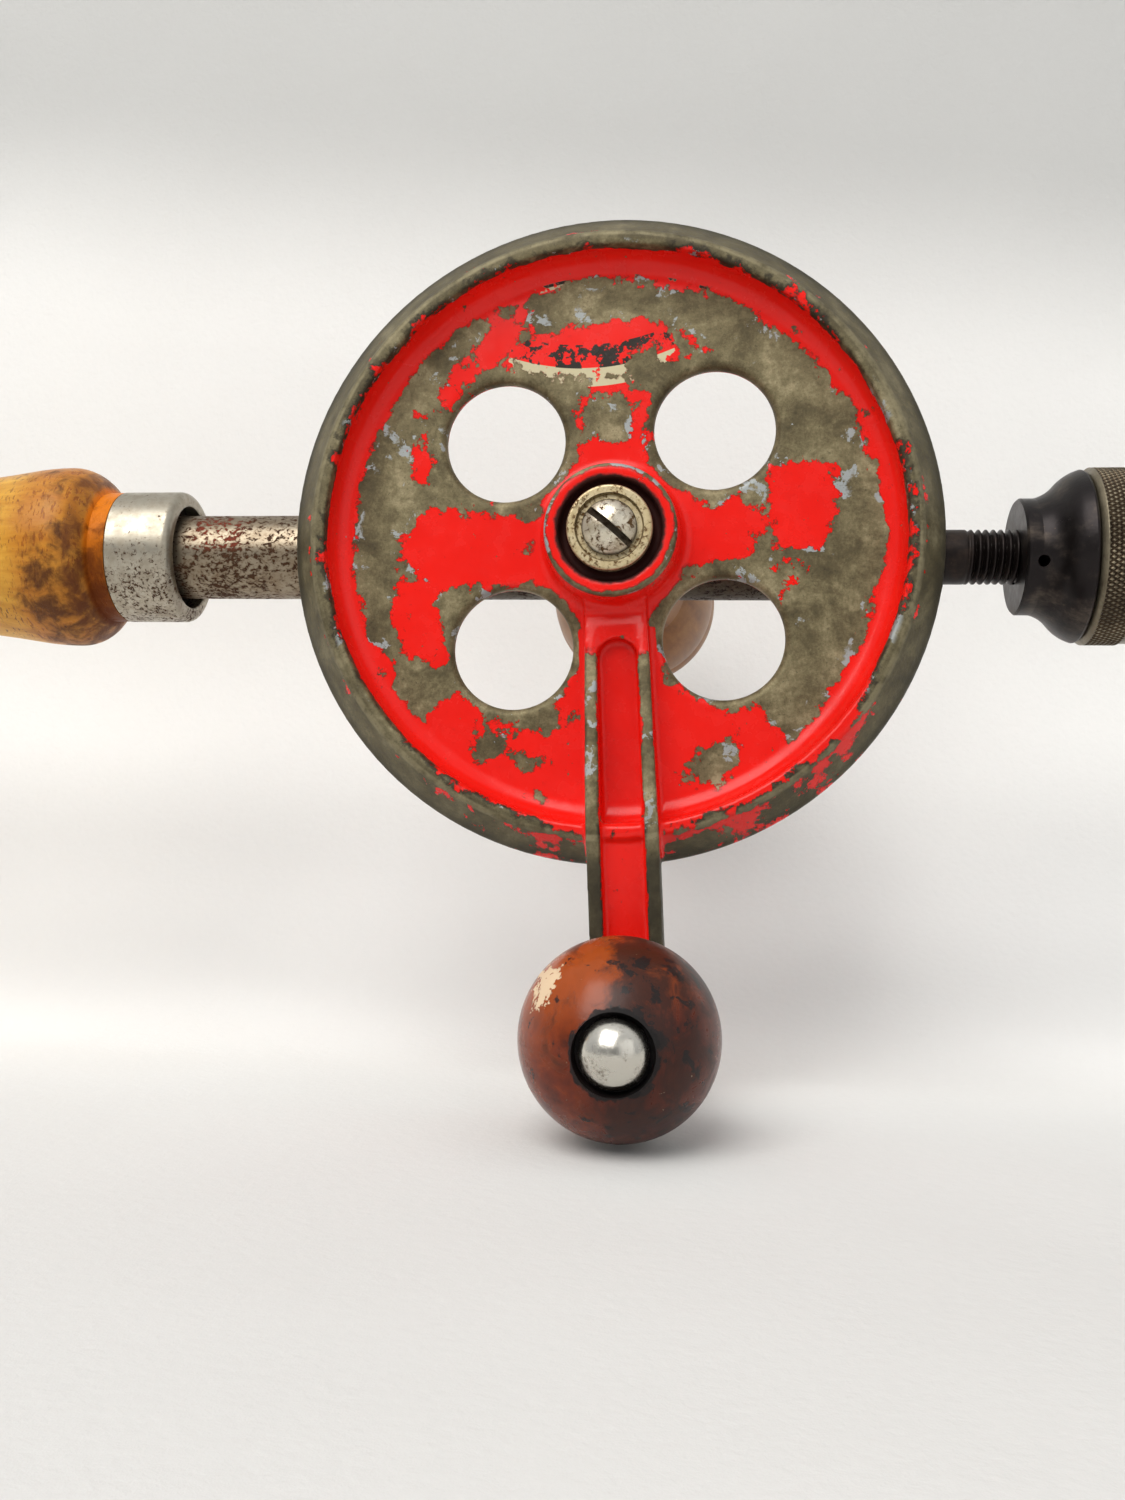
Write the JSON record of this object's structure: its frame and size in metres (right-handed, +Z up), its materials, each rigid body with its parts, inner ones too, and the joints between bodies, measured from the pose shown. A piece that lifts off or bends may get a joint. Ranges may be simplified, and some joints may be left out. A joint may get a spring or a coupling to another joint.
{
  "type": "hand drill",
  "caption": "Geared hand drill: wooden grip, steel frame tube, large red crank wheel with bevel teeth, crank knob and a hand-tightened jaw chuck.",
  "frame": {"origin": "on the drilling axis, in the middle of the jaws' grip", "axes": "+X along the spindle and out of the chuck, -Y from the frame tube towards the crank wheel's face, +Z up, with the crank hanging down"},
  "size_m": [0.2744, 0.1154, 0.1219],
  "materials": {
    "red_paint": "chipped gloss red over dull zinc",
    "lacquered_wood": "worn amber lacquer, dirty near the shoulder",
    "stained_wood": "glossy red-brown stain",
    "nickel": "nickel plate with dense rust pits",
    "bright_steel": "satin steel",
    "chrome_cap": "polished",
    "dark_steel": "brown-black oxide",
    "worn_steel": "knurled, browned",
    "bronze": "oiled bronze",
    "brass": "dull brass"
  },
  "bodies": {
    "frame": {"frame_tube": "nickel", "front_bush": "bronze", "rear_bush": "bronze", "thrust_washer": "bright_steel", "axle_stud": "bright_steel", "axle_washer": "nickel", "axle_screw": "bright_steel", "saddle_washer": "bright_steel", "lock_nut": "bright_steel", "main_handle": "lacquered_wood", "ferrule": "nickel", "side_handle": "lacquered_wood", "side_handle_insert": "brass"},
    "wheel": {"crank_wheel": "red_paint", "knob_pin": "chrome_cap", "knob_washer": "bright_steel"},
    "knob": {"crank_knob": "stained_wood"},
    "spindle": {"spindle": "dark_steel", "spindle_collar": "bright_steel", "pinion": "dark_steel", "pinion_pin": "bright_steel", "chuck_body": "dark_steel"},
    "sleeve": {"chuck_sleeve": "worn_steel", "chuck_nut": "bright_steel"},
    "jaw_1": {"chuck_jaw_1": "bright_steel"},
    "jaw_2": {"chuck_jaw_2": "bright_steel"},
    "jaw_3": {"chuck_jaw_3": "bright_steel"}
  },
  "joints": [
    {"name": "wheel_spin", "type": "hinge", "parent": "frame", "child": "wheel", "pos_m": [-0.092, 0, 0], "axis": [0, 1, 0], "continuous": true},
    {"name": "spindle_spin", "type": "hinge", "parent": "frame", "child": "spindle", "pos_m": [-0.092, 0, 0], "axis": [1, 0, 0], "continuous": true},
    {"name": "knob_spin", "type": "hinge", "parent": "wheel", "child": "knob", "pos_m": [-0.08838, -0.035, -0.0645], "axis": [0, 1, 0], "continuous": true},
    {"name": "sleeve_turn", "type": "hinge", "parent": "spindle", "child": "sleeve", "pos_m": [0, 0, 0], "axis": [1, 0, 0], "range_deg": [0, 1800]},
    {"name": "jaw_1_slide", "type": "slide", "parent": "spindle", "child": "jaw_1", "axis": [0.9744, 0, -0.225], "range_m": [0, 0.0095]},
    {"name": "jaw_2_slide", "type": "slide", "parent": "spindle", "child": "jaw_2", "axis": [0.9744, 0.1948, 0.1125], "range_m": [0, 0.0095]},
    {"name": "jaw_3_slide", "type": "slide", "parent": "spindle", "child": "jaw_3", "axis": [0.9744, -0.1948, 0.1125], "range_m": [0, 0.0095]}
  ],
  "couplings": [
    {"joint": "spindle_spin", "follows": "wheel_spin", "ratio": 4},
    {"joint": "jaw_1_slide", "follows": "sleeve_turn", "m_per_rad": 0.00030239},
    {"joint": "jaw_2_slide", "follows": "sleeve_turn", "m_per_rad": 0.00030239},
    {"joint": "jaw_3_slide", "follows": "sleeve_turn", "m_per_rad": 0.00030239}
  ]
}
